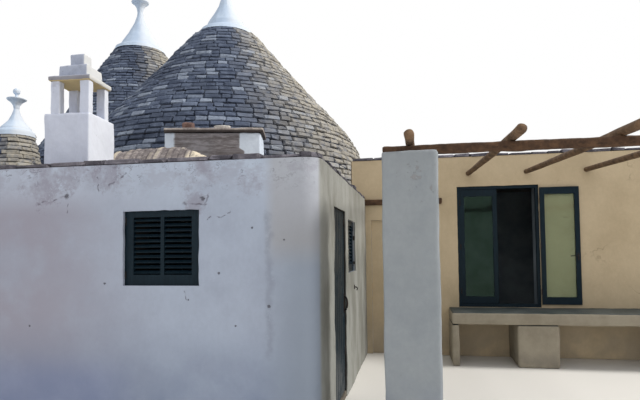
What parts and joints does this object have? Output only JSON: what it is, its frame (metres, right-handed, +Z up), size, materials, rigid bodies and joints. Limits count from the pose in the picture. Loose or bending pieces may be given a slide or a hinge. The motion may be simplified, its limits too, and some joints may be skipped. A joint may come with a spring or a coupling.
{
  "type": "trullo house",
  "caption": "Whitewashed trullo house with stone cones, a flat-roofed kitchen with a chimney and roof tank, and a wing with a tall green window on a pergola terrace.",
  "frame": {"origin": "middle of the whole plan box, at ground level", "axes": "+X to the right seen from the front, +Y from the front to the back, +Z up"},
  "size_m": [17.704, 15.36, 10.09],
  "materials": {
    "whitewash": "matte",
    "cream_plaster": "matte",
    "limestone": "rough",
    "floor_stone": "matte",
    "green_paint": "satin",
    "timber": "matte",
    "glass": "clear",
    "iron": "rough"
  },
  "bodies": {
    "root": {"chimney_cover": "whitewash", "chimney_posts": "whitewash", "chimney_stack": "whitewash", "counter_legs": "cream_plaster", "counter_slab": "cream_plaster", "cross_wall": "whitewash", "door_lintel": "whitewash", "door_pins": "iron", "door_side_pier": "whitewash", "front_shutter": "green_paint", "front_wall": "whitewash", "kitchen_arch": "whitewash", "kitchen_coping": "limestone", "kitchen_floor": "floor_stone", "kitchen_roof": "limestone", "left_wall": "whitewash", "main_back_wall": "whitewash", "main_cap": "whitewash", "main_cone": "limestone", "main_front_wall": "whitewash", "main_right_wall": "whitewash", "middle_wall": "whitewash", "outer_left_wall": "whitewash", "pergola_poles": "timber", "rear_back_wall": "whitewash", "rear_cap": "whitewash", "rear_cone": "limestone", "rear_right_wall": "whitewash", "roof_vault": "limestone", "room_floors": "floor_stone", "side_shutter": "green_paint", "side_wall": "whitewash", "small_cap": "whitewash", "small_cone": "limestone", "tank_lid": "limestone", "tank_walls": "whitewash", "terrace_beams": "timber", "terrace_piers": "whitewash", "window_frame": "green_paint", "window_glass": "glass", "window_leaves": "green_paint", "wing_back_wall": "whitewash", "wing_coping": "limestone", "wing_floor": "floor_stone", "wing_front_wall": "cream_plaster", "wing_right_wall": "whitewash", "wing_roof": "limestone"},
    "kitchen_door": {"kitchen_door": "green_paint"}
  },
  "joints": [
    {"name": "kitchen_door_hinge", "type": "hinge", "parent": "root", "child": "kitchen_door", "pos_m": [2.758, -6.735, 1], "axis": [0, 0, 1], "range_deg": [0, 90]}
  ]
}
